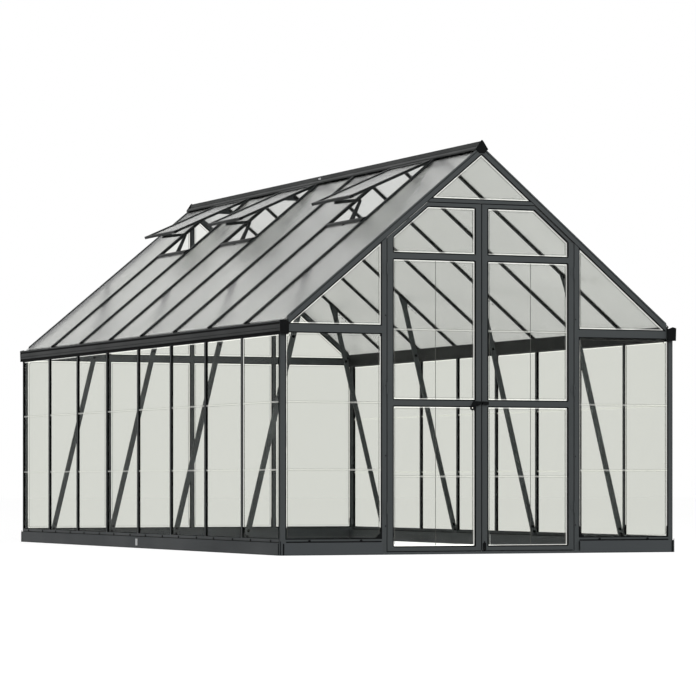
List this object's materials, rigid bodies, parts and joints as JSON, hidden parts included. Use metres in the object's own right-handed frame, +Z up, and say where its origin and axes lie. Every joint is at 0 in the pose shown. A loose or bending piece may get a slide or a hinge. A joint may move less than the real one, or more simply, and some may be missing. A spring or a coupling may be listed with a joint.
{
  "type": "gabled greenhouse",
  "caption": "Free-standing gabled greenhouse: dark metal frame on a steel base, clear walls, translucent roof with vents propped open, and a pair of hinged glazed doors.",
  "frame": {"origin": "on the ground at the centre of the footprint", "axes": "+X to the right seen from the door gable, +Y from the door gable towards the back gable, +Z up"},
  "size_m": [2.474, 4.706, 2.3369],
  "materials": {
    "frame_paint": "dark grey powder coat on extruded aluminium, satin",
    "base_steel": "dark grey powder coat on folded steel, satin",
    "black_plastic": "moulded black plastic, matt",
    "clear_glass": "clear sheet glazing with a faint green-grey tint",
    "roof_sheet": "translucent twin-wall sheet, diffusing grey"
  },
  "bodies": {
    "house": {"base_rail_left": "base_steel", "base_rail_right": "base_steel", "base_rail_back": "base_steel", "base_rails_front": "base_steel", "base_corners": "base_steel", "door_threshold": "base_steel", "wall_sills": "frame_paint", "corner_posts": "frame_paint", "side_posts_left": "frame_paint", "side_posts_right": "frame_paint", "door_jambs": "frame_paint", "eave_bars_front": "frame_paint", "door_head_bar": "frame_paint", "gable_posts_back": "frame_paint", "eave_bars_back": "frame_paint", "gutter_left": "frame_paint", "gutter_right": "frame_paint", "gutter_end_caps": "black_plastic", "ridge_beam": "frame_paint", "ridge_end_caps": "black_plastic", "gable_rafters_front": "frame_paint", "gable_rafters_back": "frame_paint", "roof_bars_left": "frame_paint", "roof_bars_right": "frame_paint", "knee_braces_left": "frame_paint", "knee_braces_right": "frame_paint", "ridge_gussets": "frame_paint", "jamb_gussets": "frame_paint", "side_panes_left": "clear_glass", "side_panes_right": "clear_glass", "front_panes": "clear_glass", "back_panes": "clear_glass", "roof_sheets_left": "roof_sheet", "roof_sheets_right": "roof_sheet", "vent_sills": "frame_paint", "vent_sash_sides": "frame_paint", "vent_sash_rails": "frame_paint", "vent_panes": "roof_sheet", "vent_stays": "frame_paint"},
    "left_leaf": {"left_door_stiles": "frame_paint", "left_door_rails": "frame_paint", "left_door_raked_rail": "frame_paint", "left_door_panes": "clear_glass"},
    "right_leaf": {"right_door_stiles": "frame_paint", "right_door_rails": "frame_paint", "right_door_raked_rail": "frame_paint", "right_door_panes": "clear_glass", "latch_keeper": "black_plastic"},
    "latch": {"latch_lever": "black_plastic"}
  },
  "joints": [
    {"name": "left_door_hinge", "type": "hinge", "parent": "house", "child": "left_leaf", "pos_m": [-0.5845, -2.337, 1], "axis": [0, 0, -1], "range_deg": [0, 110]},
    {"name": "right_door_hinge", "type": "hinge", "parent": "house", "child": "right_leaf", "pos_m": [0.5845, -2.337, 1], "axis": [0, 0, 1], "range_deg": [0, 110]},
    {"name": "latch_turn", "type": "hinge", "parent": "left_leaf", "child": "latch", "pos_m": [-0.0315, -2.332, 0.848], "axis": [0, 1, 0], "range_deg": [0, 90]}
  ]
}
